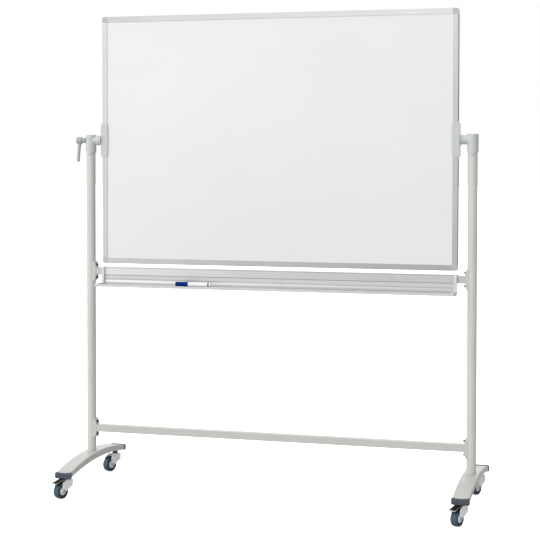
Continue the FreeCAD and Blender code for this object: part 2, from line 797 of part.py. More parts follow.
def build_stand():
    for name, sign, rotation in (("left", "-1", Z_UP), ("right", "1", ABOUT)):
        build_post(f"post_{name}", sign, rotation)
        build_foot(f"foot_{name}", sign)
        foot_cap(f"foot_cap_rear_{name}", sign, Z_UP)
        foot_cap(f"foot_cap_front_{name}", sign, ABOUT)
    pivot_head("pivot_head_left", "-1", Z_UP, LEFT_BARREL_END, stud_hole=True)
    pivot_head("pivot_head_right", "1", ABOUT, RIGHT_BARREL_END, stud_hole=False)
    crossbar("crossbar_lower", "lower_bar_height")
    crossbar("crossbar_tray", "tray_bar_height")

    ends = [("-1", Z_UP, TO_PLUS_X), ("1", ABOUT, TO_MINUS_X)]
    bars = ("lower_bar_height", "tray_bar_height")
    group("crossbar_saddles", saddle(), [
        ((f"{sign} * {POST_X}", "0", bar), rotation)
        for sign, rotation, _ in ends
        for bar in bars
    ])
    saddle_screw = turned("saddle_screw_piece", [
        ("0", "-saddle_seat + post_radius - 8"),
        ("saddle_bolt", "-saddle_seat + post_radius - 8"),
        ("saddle_bolt", "0"),
        ("saddle_bolt * 1.7", "0"),
        ("saddle_bolt * 1.7", "1.6"),
        ("saddle_bolt * 1.5", "1.6"),
        ("saddle_bolt * 1.5", "7.2"),
        ("saddle_bolt * 1.3", "8"),
        ("0", "8"),
    ])
    group("saddle_screws", saddle_screw, [
        ((f"{sign} * ({POST_X} - saddle_seat)", "0", f"{bar} {side} saddle_screw"), heading)
        for sign, _, heading in ends
        for bar in bars
        for side in "+-"
    ])

    bush = turned("pivot_bush_piece", [
        ("shaft_radius + running_gap", "0"),
        ("bush_outer", "0"),
        ("bush_outer", "bush_length"),
        ("shaft_radius + running_gap", "bush_length"),
    ])
    group("pivot_bushes", bush, [
        ((f"-({LEFT_BARREL_END} + 0.4)", "0", "pivot_height"), TO_MINUS_X),
        ((f"{RIGHT_BARREL_END} + 0.4", "0", "pivot_height"), TO_PLUS_X),
    ])
    grub = turned("head_grub_screw", [
        ("0", "0"),
        ("grub_radius", "0"),
        ("grub_radius", "head_radius - post_radius - 0.4"),
        ("grub_radius / 2", "head_radius - post_radius - 0.4"),
        ("grub_radius / 2", "1"),
        ("0", "1"),
    ])
    group("head_set_screws", grub, [
        ((f"{sign} * {POST_X}", "post_radius + 0.05", "pivot_height - grub_drop"), TO_PLUS_Y)
        for sign in ("-1", "1")
    ])

    plug = turned("post_plug_piece", [
        ("anchor_bolt", "0"),
        ("post_radius - post_wall", "0"),
        ("post_radius - post_wall", "30"),
        ("0", "30"),
        ("0", "22"),
        ("anchor_bolt", "22"),
    ])
    bolt = turned("anchor_bolt_piece", [
        ("0", "-foot_thick - 5"),
        ("anchor_bolt * 1.6", "-foot_thick - 5"),
        ("anchor_bolt * 1.6", "-foot_thick - 0.1"),
        ("anchor_bolt", "-foot_thick - 0.1"),
        ("anchor_bolt", "20"),
        ("0", "20"),
    ])
    post_feet = [((f"{sign} * {POST_X}", "0", "post_foot"), Z_UP) for sign in ("-1", "1")]
    group("post_anchor_plugs", plug, post_feet)
    group("post_anchor_bolts", bolt, post_feet)
    build_tray()


# ---------------------------------------------------------------- lock lever
def build_lever():
    """A handle whose stud screws into the left shaft and pulls the ring against the head."""
    body = new_body("clamp_lever")
    arm = new_sketch(body, "XZ")
    outline(arm, [
        ("-lever_out + 7.5", "-6"),
        ("-lever_out - 7", "-6"),
        ("-lever_out - 11", "-lever_arm + 14"),
        ("-lever_out - 12.2", "-lever_arm + 5"),
        ("-lever_out + 0.8", "-lever_arm + 4.6", "6.8", 1),
        ("-lever_out - 0.4", "-lever_arm + 14"),
    ])
    pad(body, arm, "lever_thick", both_ways=True)
    round_edges(body, "lever_thick / 2 - 1.6",
                lambda e: abs(abs(midpoint(e).y) - value("lever_thick / 2")) < 0.01
                and midpoint(e).z < -10)
    hub = new_sketch(body, "XZ")
    outline(hub, [
        ("0", "0"),
        ("0", "lever_neck"),
        ("-lever_out + lever_hub_half", "lever_neck - 1"),
        ("-lever_out + lever_hub_half", "lever_hub - 3"),
        ("-lever_out + lever_hub_half - 3", "lever_hub", "3", 1),
        ("-lever_out - lever_hub_half + 6", "lever_hub"),
        ("-lever_out - lever_hub_half", "lever_hub - 6", "6", 1),
        ("-lever_out - lever_hub_half", "0"),
    ])
    revolve(body, hub, "H_Axis")
    doc.recompute()
    bore = new_sketch(body, "YZ")
    circle(bore, "0", "0", "stud_radius")
    pocket(body, bore, "lever_out + 4")
    place(body, ("-lever_face", "0", "pivot_height"))
    keep(body)

    stud = turned("clamp_lever_stud", [
        ("0", "0"),
        ("stud_radius", "0"),
        ("stud_radius", "lever_out + 4 + stud_reach - 0.8"),
        ("stud_radius - 0.8", "lever_out + 4 + stud_reach"),
        ("0", "lever_out + 4 + stud_reach"),
    ])
    place(stud, ("-lever_face - lever_out - 4", "0", "pivot_height"), TO_PLUS_X)
    keep(stud)


# ---------------------------------------------------------------- casters
TRAIL = FreeCAD.Rotation(FreeCAD.Vector(0, 0, 1), -SIZES["caster_turn"])


def build_caster(name, sign_x, sign_y, with_pedal):
    """A fork that swivels on its kingpin, and a wheel that trails behind it on its axle."""
    swivel = (f"{sign_x} * {POST_X}", f"{sign_y} * caster_track", "0")
    hub_spot = (f"{swivel[0]} - caster_trail * sin(caster_turn)",
                f"{swivel[1]} - caster_trail * cos(caster_turn)", "wheel_radius")
    across = TRAIL.multiply(TO_PLUS_X)
    inner = "wheel_width / 2 + fork_gap"

    fork = new_body(f"caster_fork_{name}")
    leg = new_sketch(fork, "YZ")
    outline(leg, [
        ("fork_heel", "crown_top - 25"),
        ("fork_heel", "crown_top"),
        ("-22", "crown_top"),
        ("-36", "crown_top - 6.5"),
        ("-41", "crown_top - 17.5"),
        ("-caster_trail - fork_eye", "wheel_radius"),
        ("-caster_trail + fork_eye * sin(29)", "wheel_radius - fork_eye * cos(29)",
         "fork_eye", 1),
    ])
    pad(fork, leg, f"2 * ({inner} + fork_plate)", both_ways=True)
    slot = new_sketch(fork, "YZ")
    rectangle(slot, "-60", "0", "fork_heel + 1", "crown_top - fork_plate")
    rectangle(slot, "-60", "crown_top - fork_plate", "-20", "crown_top + 1")
    pocket(fork, slot, f"2 * ({inner})", both_ways=True)
    dome = new_sketch(fork, "XZ")
    outline(dome, [
        ("3", "crown_top - 1"),
        ("14", "crown_top - 1"),
        ("14", "crown_top"),
        ("10.5", "crown_top + 1.8", "5", 1),
        ("3", "crown_top + 1.8"),
    ])
    revolve(fork, dome)
    pin_hole = new_sketch(fork, "XY", "crown_top + 3")
    circle(pin_hole, "0", "0", "kingpin_radius + 0.08")
    pocket(fork, pin_hole, "8")
    axle_hole = new_sketch(fork, "YZ")
    circle(axle_hole, "-caster_trail", "wheel_radius", "axle_radius")
    circle(axle_hole, "-pedal_pin_forward", "pedal_pin_height", "pedal_pin + 0.06")
    pocket(fork, axle_hole, "3 * wheel_width", both_ways=True)
    place(fork, swivel, TRAIL)
    keep(fork)

    outside = f"{inner} + fork_plate"
    axle = turned(f"caster_axle_{name}", [
        ("0", f"-({outside}) - 3"),
        ("axle_radius * 1.6", f"-({outside}) - 3"),
        ("axle_radius * 1.6", f"-({outside})"),
        ("axle_radius", f"-({outside})"),
        ("axle_radius", outside),
        ("axle_radius * 1.6", outside),
        ("axle_radius * 1.6", f"{outside} + 3.4"),
        ("0", f"{outside} + 3.4"),
    ])
    hub = turned(f"wheel_hub_{name}", [
        ("axle_radius + running_gap", f"-({inner}) + 0.5"),
        ("9", f"-({inner}) + 0.5"),
        ("9", "-6"),
        ("hub_radius - 4", "-6"),
        ("hub_radius - 3", "-wheel_width / 2 + 1"),
        ("hub_radius", "-wheel_width / 2 + 1"),
        ("hub_radius", "wheel_width / 2 - 1"),
        ("hub_radius - 3", "wheel_width / 2 - 1"),
        ("hub_radius - 4", "6"),
        ("9", "6"),
        ("9", f"{inner} - 0.5"),
        ("axle_radius + running_gap", f"{inner} - 0.5"),
    ])
    tyre = turned(f"wheel_tyre_{name}", [
        ("hub_radius", "-wheel_width / 2 + 1"),
        ("wheel_radius - 5", "-wheel_width / 2"),
        ("wheel_radius", "-wheel_width / 2 + 5", "5", 1),
        ("wheel_radius", "wheel_width / 2 - 5"),
        ("wheel_radius - 5", "wheel_width / 2", "5", 1),
        ("hub_radius", "wheel_width / 2 - 1"),
    ])
    for piece in (axle, hub, tyre):
        place(piece, hub_spot, across)
        keep(piece)
    if with_pedal:
        build_pedal(name, swivel)


def build_pedal(name, swivel):
    """A brake pedal on a pin between the fork's legs, pressed down: its plate slopes over
    the wheel, and the lug under it is just clear of the tread."""
    pedal = new_body(f"brake_pedal_{name}")
    plate = new_sketch(pedal, "YZ")
    rear, tip = "-19", "-pedal_reach"
    outline(plate, [
        (rear, "crown_top + 3.0"),
        (rear, "crown_top + 5.2"),
        (tip, "crown_top - 7.9"),
        (tip, "crown_top - 10.1"),
    ])
    pad(pedal, plate, "pedal_width", both_ways=True)
    lug = new_sketch(pedal, "YZ")
    outline(lug, [
        ("-22", "crown_top + 3.0"),
        ("-36", "crown_top - 0.4"),
        ("-33", "crown_top - 12"),
        ("-25", "crown_top - 12"),
    ])
    pad(pedal, lug, "wheel_width", both_ways=True)
    pin = new_sketch(pedal, "YZ")
    circle(pin, "-pedal_pin_forward", "pedal_pin_height", "pedal_pin")
    pad(pedal, pin, "wheel_width + 2 * fork_gap + 2 * fork_plate", both_ways=True)
    place(pedal, swivel, TRAIL)
    keep(pedal)


def build_caster_mounts():
    """Kingpins fixed in the feet, and the dark swivel covers under the feet."""
    spots = [
        ((f"{sign_x} * {POST_X}", f"{sign_y} * caster_track", "0"), Z_UP)
        for sign_x in ("-1", "1")
        for sign_y in ("-1", "1")
    ]
    stem_top, nut = "crown_top + 30", "kingpin_radius + 3.5"
    stem = turned("caster_stem_piece", [
        ("0", "crown_top - 6"),
        ("8", "crown_top - 6"),
        ("8", "crown_top - fork_plate - body_gap"),
        ("kingpin_radius", "crown_top - fork_plate - body_gap"),
        ("kingpin_radius", "crown_top + 19.5"),
        (nut, "crown_top + 19.5"),
        (nut, "crown_top + 26"),
        ("kingpin_radius", "crown_top + 26"),
        ("kingpin_radius", stem_top),
        ("0", stem_top),
    ])
    group("caster_stems", stem, spots)

    cover = turned("swivel_cover_blank", [
        ("kingpin_radius", "crown_top + 2.2"),
        ("race_neck", "crown_top + 2.2"),
        ("race_neck", "crown_top + 5"),
        ("race_radius - 2", "crown_top + 5"),
        ("race_radius", "crown_top + 7"),
        ("race_radius", "crown_top + 25"),
        ("kingpin_radius", "crown_top + 25"),
    ])
    arch_block = new_body("foot_underside")
    band = new_sketch(arch_block, "YZ")
    foot_outline(band, "0", "0", "-foot_angle - 1", "foot_angle + 1")
    pad(arch_block, band, "foot_width", both_ways=True)
    covers = []
    for sign in ("-1", "1"):
        blank = doc.addObject("App::Link", f"swivel_cover_blank_{len(covers)}")
        blank.LinkedObject = cover
        place(blank, ("0", f"{sign} * caster_track", "0"))
        trimmed = doc.addObject("Part::Cut", f"swivel_cover_{len(covers)}")
        trimmed.Base = blank
        trimmed.Tool = arch_block
        covers.append(trimmed)
    pair = doc.addObject("Part::Compound", "swivel_cover_pair")
    pair.Links = covers
    group("caster_swivel_covers", pair, [((f"{s} * {POST_X}", "0", "0"), Z_UP) for s in ("-1", "1")])


def build_casters():
    build_caster_mounts()
    for name, sign_x, sign_y in (("front_left", "-1", "-1"), ("front_right", "1", "-1"),
                                 ("rear_left", "-1", "1"), ("rear_right", "1", "1")):
        build_caster(name, sign_x, sign_y, with_pedal=sign_y == "-1")


# ---------------------------------------------------------------- marker
def build_marker():
    """A board marker lying in the tray; its cap is pulled off to the left."""
    spot = ("-marker_left + marker_cap_length", "-marker_forward",
            "tray_shelf + marker_cap_radius + body_gap")
    length = "(marker_length - marker_cap_length)"
    barrel = turned("marker_barrel", [
        ("0", "-44"),
        ("2", "-44"),
        ("3.2", "-35"),
        ("marker_neck", "-33"),
        ("marker_neck", "0"),
        ("marker_barrel_radius", "0"),
        ("marker_barrel_radius", f"{length} - 1.5"),
        ("marker_barrel_radius - 1.5", length, "1.5", 1),
        ("0", length),
    ])
    cap = turned("marker_cap", [
        ("0", "-marker_cap_length"),
        ("marker_cap_radius - 1.5", "-marker_cap_length"),
        ("marker_cap_radius", "-marker_cap_length + 1.5", "1.5", 1),
        ("marker_cap_radius", "-body_gap"),
        ("marker_neck + 0.08", "-body_gap"),
        ("marker_neck + 0.08", "-46.5"),
        ("0", "-46.5"),
    ])
    for piece in (barrel, cap):
        place(piece, spot, TO_PLUS_X)
        keep(piece)


# ---------------------------------------------------------------- checks and files
def write_parts():
    """Check every object of the document, then write one file for each sub-part."""
    doc.recompute()
    for obj in doc.Objects:
        if "Invalid" in obj.State or "Error" in obj.State:
            raise RuntimeError(f"{obj.Label}: {obj.State}")
    for node in nodes:
        if node.Shape.isNull() or not node.Shape.isValid():
            raise RuntimeError(f"{node.Label}: its shape is null or not valid")
    labels = [node.Label for node in nodes]
    if len(set(labels)) != len(labels) or len(labels) > 60:
        raise RuntimeError("sub-part names repeat, or there are too many of them")
    os.makedirs("parts", exist_ok=True)
    for node in nodes:
        node.Shape.exportStep(f"parts/{node.Label}.step")
    print(len(nodes), "sub-parts written")


build_board()
build_stand()
build_lever()
build_casters()
build_marker()
write_parts()
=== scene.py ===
import json
import math

import bmesh
import bpy
from mathutils import Matrix, Vector


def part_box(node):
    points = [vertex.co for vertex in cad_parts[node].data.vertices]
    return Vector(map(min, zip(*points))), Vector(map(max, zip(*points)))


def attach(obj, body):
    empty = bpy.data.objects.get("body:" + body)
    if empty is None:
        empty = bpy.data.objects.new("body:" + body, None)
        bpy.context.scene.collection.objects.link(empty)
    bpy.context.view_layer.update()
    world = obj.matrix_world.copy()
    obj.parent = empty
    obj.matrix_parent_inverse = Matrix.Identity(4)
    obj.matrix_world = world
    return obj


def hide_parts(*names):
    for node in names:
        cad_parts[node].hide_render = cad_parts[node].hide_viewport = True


# The rolling whiteboard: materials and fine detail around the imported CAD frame.

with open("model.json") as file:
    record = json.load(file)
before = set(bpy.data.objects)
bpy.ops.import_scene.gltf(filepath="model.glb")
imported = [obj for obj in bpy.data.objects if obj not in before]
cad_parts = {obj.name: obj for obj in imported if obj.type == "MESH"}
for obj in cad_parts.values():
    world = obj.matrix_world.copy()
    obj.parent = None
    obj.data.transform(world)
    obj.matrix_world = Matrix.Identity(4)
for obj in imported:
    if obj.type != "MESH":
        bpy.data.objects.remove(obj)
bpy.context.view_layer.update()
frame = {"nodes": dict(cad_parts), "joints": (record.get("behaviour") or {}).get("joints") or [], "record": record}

MM = 0.001
CASTERS = ("front_left", "front_right", "rear_left", "rear_right")
FRONT_CASTERS, REAR_CASTERS = CASTERS[:2], CASTERS[2:]
SIDES = ("left", "right")

# ---- paint and metal
STAND_GREY = (0.495, 0.492, 0.468)
# The posts get a lighter copy of the stand's paint: painted light on the posts.
POST_LIT_GREY = (0.55, 0.547, 0.52)
FRAME_GREY = (0.465, 0.47, 0.475)
DIE_LINE_SCALE, DIE_LINE_STRETCH, DIE_LINE_DEPTH = 1500.0, 260.0, 0.08 * MM

# How far the board reaches along its two long directions, and each frame rail's
# direction with its painted light and shade at the start and at the end of that reach.
BOARD_SPAN = {"X": (-0.75, 0.75), "Z": (0.94, 1.97)}
RAIL_PAINTED_LIGHT = {
    "top": ("X", 0.86, 1.30),
    "bottom": ("X", 1.12, 0.74),
    "left": ("Z", 1.14, 1.04),
    "right": ("Z", 0.88, 1.10),
}

# Heights of three seams and of the shelf on the face of the tray, and the tray's tones: its grey, its painted
# light and shade, the painted shade in its seams, and its die lines.
TRAY_LIP, TRAY_STEP, TRAY_BEAD, TRAY_SHELF = 0.9208, 0.8905, 0.8740, 0.8575
TRAY_GREY, TRAY_PAINTED_LIGHT, TRAY_PAINTED_SHADE = (0.57, 0.575, 0.58), (0.80, 0.80, 0.80), (0.42, 0.425, 0.43)
TRAY_SEAM_SHADE, TRAY_DIE_LINE = (0.20, 0.205, 0.21), (0.47, 0.475, 0.48)

# ---- casters, in mm and degrees
SIDEWALL_RADIUS = 25.5
RIB_COUNT, RIB_INNER, RIB_OUTER, RIB_HALF, RIB_FOOT, RIB_TOP = 7, 8.2, 13.5, 0.9, 5.0, 11.0
FORK_DOME = 1.8

# The pedal's plate: how far its tip is from the swivel and below the crown, and its slope.
PEDAL_REACH, PEDAL_TIP_DROP, PEDAL_RISE, PEDAL_RUN = 73.0, 7.9, 13.1, 54.0
PEDAL_BEVEL = 0.5
GRIP_COUNT, GRIP_START, GRIP_PITCH, GRIP_WIDTH, GRIP_HALF = 5, 6.0, 4.2, 1.7, 11.5
GRIP_SUNK, GRIP_PROUD = 0.2, 0.7
STRIP_INNER, STRIP_OUTER, STRIP_START, STRIP_END, STRIP_HALF = 13.4, 15.1, 2.4, 50.0, 0.4

# The low and high corners of two boxes in the plate's own frame: y runs up it from the tip.
PEDAL_LIP = ((-15.2, -1.6, -2.3), (15.2, 2.2, 0.25))
PEDAL_TAB = ((-12.0, -11.0, -1.9), (-3.0, -1.0, -0.7))

# The black shoe over the tread, and its arc: degrees from the tread's top, away from the swivel.
SHOE_HALF, SHOE_INNER, SHOE_OUTER, SHOE_CHAMFER, SHOE_STEPS = 12.5, 31.7, 34.8, 1.0, 20
# On the front casters the shoe is a brake shoe that also paints the shade under the pedal; the rear casters have
# no brake, and their shoe is only painted shade.
FRONT_SHOE_AND_SHADE, REAR_SHADE_ARC = (5.0, 42.0), (-28.0, 36.0)

# ---- smaller detail, in mm and degrees
# Dark strips of painted shade on the upright rails' outer sides: their inset from the rail's edges and ends, and
# half their thickness.
SHADE_STRIP_EDGE, SHADE_STRIP_END, SHADE_STRIP_DEPTH = 2.6, 2.0, 0.15
CAP_FALL, RIM_RISE, RIM_DROP, RIM_EDGE, RIM_BACK, RIM_FRONT = 12.5, 2.4, 1.5, 3.0, 2.5, 8.0
BARREL_RADIUS, RING_PROUD, RING_SUNK, RING_NEAR, RING_FAR = 8.6, 0.22, 0.3, 7.1, 12.5
FLUTE_COUNT, FLUTE_INNER, FLUTE_OUTER, FLUTE_HALF = 24, 9.2, 9.52, 0.45
FLUTE_START, FLUTE_END = 4.0, 6.0

# ---- the studio
FLOOR_HALF, FLOOR_GLOW, FLOOR_BOUNCE = 60.0, 0.6, (0.55, 0.55, 0.55)

# How the surroundings' light changes with direction: axis, from, to, strength at each.
LIGHT_RAMPS = (
    ("X", 0.1, 0.8, 1.0, 0.28),
    ("Y", -0.8, 0.3, 1.85, 1.0),
    ("Y", 0.3, 0.9, 1.0, 1.4),
    ("Z", 0.4, 1.0, 1.0, 0.85),
)

# ---- the camera at the photograph's viewing angle, in metres, radians and lens mm
EYE = Vector((1.5511, -5.6420, 1.3938))
YAW, PITCH, ROLL = 0.2717, 0.0310, 0.0010
SENSOR, FOCAL_LENGTH, SHIFT_UP, CLIP_END = 36.0, 95.60333, -0.13, 300.0


# ------------------------------------------------------------------ materials
def toned(colour, factor):
    """A lighter or darker shade of a colour."""
    return [min(c * factor, 1.0) for c in colour]


class Nodes:
    """Helpers that add nodes to a tree and wire them up."""

    def __init__(self, tree):
        self.tree = tree

    def node(self, kind, **settings):
        node = self.tree.nodes.new(kind)
        for key, setting in settings.items():
            setattr(node, key, setting)
        return node

    def link(self, output, target):
        self.tree.links.new(output, target)

    def fill(self, sockets, values):
        """Set each socket to its number, or link it to its output."""
        for socket, value in zip(sockets, values):
            if isinstance(value, (int, float)):
                socket.default_value = value
            else:
                self.link(value, socket)

    def split(self, vector):
        node = self.node("ShaderNodeSeparateXYZ")
        self.link(vector, node.inputs["Vector"])
        return node.outputs

    def ranged(self, value, low, high, out_low, out_high, kind="LINEAR"):
        """Map low..high to out_low..out_high and hold the ends."""
        node = self.node("ShaderNodeMapRange", interpolation_type=kind)
        keys = ("Value", "From Min", "From Max", "To Min", "To Max")
        self.fill([node.inputs[key] for key in keys], (value, low, high, out_low, out_high))
        return node.outputs["Result"]

    def combine(self, operation, first, second):
        node = self.node("ShaderNodeMath", operation=operation)
        self.fill(node.inputs, (first, second))
        return node.outputs["Value"]

    def times(self, first, second):
        return self.combine("MULTIPLY", first, second)


class Shader(Nodes):
    """A node material built up step by step around its Principled shader."""

    def __init__(self, name, roughness, metallic=0.0, coat=0.0, coat_roughness=0.12, specular=0.5):
        self.material = bpy.data.materials.new(name)
        self.material.use_nodes = True
        super().__init__(self.material.node_tree)
        self.shader = self.tree.nodes["Principled BSDF"]
        self.shader.inputs["Roughness"].default_value = roughness
        self.shader.inputs["Metallic"].default_value = metallic
        self.shader.inputs["Coat Weight"].default_value = coat
        self.shader.inputs["Coat Roughness"].default_value = coat_roughness
        self.shader.inputs["Specular IOR Level"].default_value = specular
        self.roughness = roughness
        self.place = self.node("ShaderNodeTexCoord").outputs["Object"]
        self.height = None

    def noise(self, scale, detail=4.0, stretch=(1.0, 1.0, 1.0), roughness=0.55, distortion=0.0):
        """Noise over the object, stretched by dividing its scale along each axis."""
        mapping = self.node("ShaderNodeMapping")
        self.link(self.place, mapping.inputs["Vector"])
        mapping.inputs["Scale"].default_value = [scale / s for s in stretch]
        noise = self.node("ShaderNodeTexNoise")
        self.link(mapping.outputs["Vector"], noise.inputs["Vector"])
        keys = ("Scale", "Detail", "Roughness", "Distortion")
        self.fill([noise.inputs[key] for key in keys], (1.0, detail, roughness, distortion))
        return noise.outputs["Fac"]

    def mix(self, factor, first, second):
        """Mix two colours by an output; each is a colour or an output."""
        node = self.node("ShaderNodeMix", data_type="RGBA")
        self.link(factor, node.inputs[0])
        for index, value in ((6, first), (7, second)):
            if isinstance(value, (tuple, list)):
                node.inputs[index].default_value = (*value, 1.0)
            else:
                self.link(value, node.inputs[index])
        return node.outputs[2]

    def mottled(self, colour, spread, scale):
        """A colour that drifts a little lighter and darker over the surface."""
        factor = self.ranged(self.noise(scale, detail=5.0), 0.3, 0.7, 0.0, 1.0)
        return self.mix(factor, toned(colour, 1.0 - spread), toned(colour, 1.0 + spread))

    def paint(self, output):
        self.link(output, self.shader.inputs["Base Color"])

    def vary_roughness(self, spread, scale, stretch=(1.0, 1.0, 1.0)):
        noise = self.noise(scale, detail=6.0, stretch=stretch)
        low, high = self.roughness - spread, self.roughness + spread
        self.link(self.ranged(noise, 0.25, 0.75, low, high), self.shader.inputs["Roughness"])

    def bump(self, height, depth, strength):
        """Add a bump of a real depth in metres on top of the earlier ones."""
        bump = self.node("ShaderNodeBump")
        bump.inputs["Strength"].default_value = strength
        bump.inputs["Distance"].default_value = depth
        self.link(height, bump.inputs["Height"])
        if self.height is not None:
            self.link(self.height, bump.inputs["Normal"])
        self.height = bump.outputs["Normal"]
        self.link(self.height, self.shader.inputs["Normal"])

    def edges(self, low, high):
        """A mask that is 1 on convex edges and 0 on flats."""
        point = self.node("ShaderNodeNewGeometry").outputs["Pointiness"]
        broken = self.times(self.noise(420.0, detail=3.0), 0.05)
        return self.ranged(self.combine("ADD", point, broken), low, high, 0.0, 1.0)


def powder_coat(name, colour, roughness=0.42):
    """Baked powder paint: fine orange peel, slight shade drift and faint handling marks."""
    s = Shader(name, roughness, coat=0.35, coat_roughness=0.2)
    base = s.mottled(colour, spread=0.025, scale=7.0)
    marks = s.noise(38.0, detail=8.0, stretch=(1.0, 1.0, 3.0), roughness=0.72)
    s.paint(s.mix(s.ranged(marks, 0.60, 0.74, 0.0, 0.22), base, toned(colour, 0.86)))
    s.vary_roughness(spread=0.07, scale=55.0)
    s.bump(s.noise(620.0, detail=3.0), depth=0.16 * MM, strength=0.35)
    s.bump(s.noise(90.0, detail=3.0), depth=0.2 * MM, strength=0.2)
    return s.material


def die_lines(s, along):
    """Fine lines along an extrusion, raised and in its gloss; returns how dark they are."""
    stretch = [DIE_LINE_STRETCH if axis == along else 1.0 for axis in "XYZ"]
    lines = s.noise(DIE_LINE_SCALE, detail=3.0, stretch=stretch, roughness=0.6)
    s.vary_roughness(spread=0.09, scale=700.0, stretch=stretch)
    s.bump(lines, DIE_LINE_DEPTH, strength=0.35)
    return s.ranged(lines, 0.35, 0.65, 0.35, 0.0)


def drawn_aluminium(name, along, first, last):
    """Satin anodised rail with fine die lines along it, and painted light and shade that drift over its length."""
    s = Shader(name, 0.38, metallic=0.55)
    way = s.ranged(s.split(s.place)[along], *BOARD_SPAN[along], 0.0, 1.0)
    ends = [s.mottled(toned(FRAME_GREY, tone), spread=0.03, scale=9.0) for tone in (first, last)]
    s.paint(s.mix(die_lines(s, along), s.mix(way, *ends), toned(FRAME_GREY, 0.84)))
    return s.material


def tray_extrusion():
    """Painted light and shade: an upper band bright at the left and shaded at the right, a cove that darkens to
    the right, and painted shade in the seams.
    """
    s = Shader("tray_look", 0.36, metallic=0.55)
    place = s.split(s.place)
    across, height = place["X"], place["Z"]
    tone = s.mottled(TRAY_GREY, spread=0.03, scale=9.0)

    soft = 1.0 * MM
    upper = s.ranged(height, TRAY_STEP - soft, TRAY_STEP + soft, 0.0, 1.0)
    tone = s.mix(s.times(upper, s.ranged(across, -0.7, -0.1, 0.48, 0.0)), tone, TRAY_PAINTED_LIGHT)
    tone = s.mix(s.times(upper, s.ranged(across, -0.3, 0.4, 0.0, 0.4)), tone, TRAY_PAINTED_SHADE)
    below_bead = s.ranged(height, TRAY_BEAD - soft, TRAY_BEAD + soft, 1.0, 0.0)
    cove = s.times(below_bead, s.ranged(height, TRAY_SHELF, TRAY_SHELF + 2 * soft, 0.0, 1.0))
    tone = s.mix(s.times(cove, s.ranged(across, -0.7, 0.45, 0.0, 1.0)), tone, TRAY_PAINTED_SHADE)

    # Painted shade along the seams; on the bead it fades out towards the right.
    faded = s.ranged(across, -0.5, 0.3, 1.0, 0.1)
    for seam, strength in ((TRAY_LIP, 1.0), (TRAY_STEP, 1.0), (TRAY_BEAD, faded)):
        off = s.combine("ABSOLUTE", s.combine("SUBTRACT", height, seam), 0.0)
        near = s.ranged(off, 0.7 * MM, 1.6 * MM, 0.75, 0.0)
        tone = s.mix(s.times(near, strength), tone, TRAY_SEAM_SHADE)
    s.paint(s.mix(s.times(die_lines(s, "X"), 0.4), tone, TRAY_DIE_LINE))
    return s.material


def moulded(name, colour, roughness=0.5, grain=900.0, depth=0.08 * MM, specular=0.5):
    """Moulded plastic: spark-eroded grain, flow marks and a slightly worn bloom."""
    s = Shader(name, roughness, specular=specular)
    base = s.mottled(colour, spread=0.04, scale=26.0)
    flecks = s.ranged(s.noise(260.0, detail=6.0, roughness=0.7), 0.62, 0.78, 0.0, 0.3)
    s.paint(s.mix(flecks, base, [min(c * 1.25 + 0.004, 1.0) for c in colour]))
    s.vary_roughness(spread=0.08, scale=120.0)
    s.bump(s.noise(grain, detail=2.0), depth, strength=0.5)
    return s.material


def writing_lacquer():
    """Smooth white lacquer with the ghost of old wiping strokes in its gloss."""
    s = Shader("writing_lacquer_look", 0.34, coat=0.25, specular=0.4)
    wipes = s.noise(5.0, detail=7.0, stretch=(3.5, 1.0, 1.0), roughness=0.62, distortion=0.9)
    haze = s.ranged(s.noise(1.3, detail=3.0), 0.35, 0.7, 0.0, 1.0)
    tone = s.mix(haze, (0.71, 0.713, 0.717), (0.73, 0.732, 0.735))
    s.paint(s.mix(s.ranged(wipes, 0.52, 0.80, 0.0, 0.30), tone, (0.69, 0.695, 0.70)))
    s.link(s.ranged(wipes, 0.3, 0.75, 0.28, 0.42), s.shader.inputs["Roughness"])
    s.bump(s.noise(240.0, detail=2.0), depth=0.04 * MM, strength=0.25)
    return s.material


def steel(name, colour, roughness=0.3):
    """Turned or plated steel with fine scratches and a slight tarnish."""
    s = Shader(name, roughness, metallic=0.9)
    tarnish = s.ranged(s.noise(60.0, detail=6.0, roughness=0.65), 0.45, 0.75, 0.0, 0.5)
    s.paint(s.mix(tarnish, colour, toned(colour, 0.72)))
    s.vary_roughness(spread=0.1, scale=180.0)
    s.bump(s.noise(1400.0, detail=2.0, stretch=(1.0, 14.0, 1.0)), depth=0.05 * MM, strength=0.4)
    return s.material


def pressed_fork():
    """Bright zinc plate over a pressing: rolled grain, cloudy plating and dull patches."""
    s = Shader("caster_fork_look", 0.28, metallic=0.1, coat=0.5)
    cloud = s.mottled((0.88, 0.885, 0.89), spread=0.05, scale=55.0)
    dull = s.ranged(s.noise(170.0, detail=7.0, roughness=0.7), 0.55, 0.78, 0.0, 0.4)
    s.paint(s.mix(dull, cloud, (0.60, 0.60, 0.595)))
    s.vary_roughness(spread=0.1, scale=140.0)
    s.bump(s.noise(800.0, detail=3.0), depth=0.05 * MM, strength=0.35)
    return s.material


def pedal_lacquer():
    """Black lacquer with shoe scuffs rubbed into it."""
    s = Shader("brake_pedal_look", 0.5, specular=0.12)
    base = s.mottled((0.012, 0.012, 0.014), spread=0.15, scale=90.0)
    scuffs = s.noise(210.0, detail=8.0, stretch=(1.0, 3.0, 1.0), roughness=0.75)
    s.paint(s.mix(s.ranged(scuffs, 0.60, 0.78, 0.0, 0.35), base, (0.09, 0.09, 0.092)))
    s.vary_roughness(spread=0.1, scale=200.0)
    s.bump(s.noise(900.0, detail=3.0), depth=0.1 * MM, strength=0.5)
    return s.material


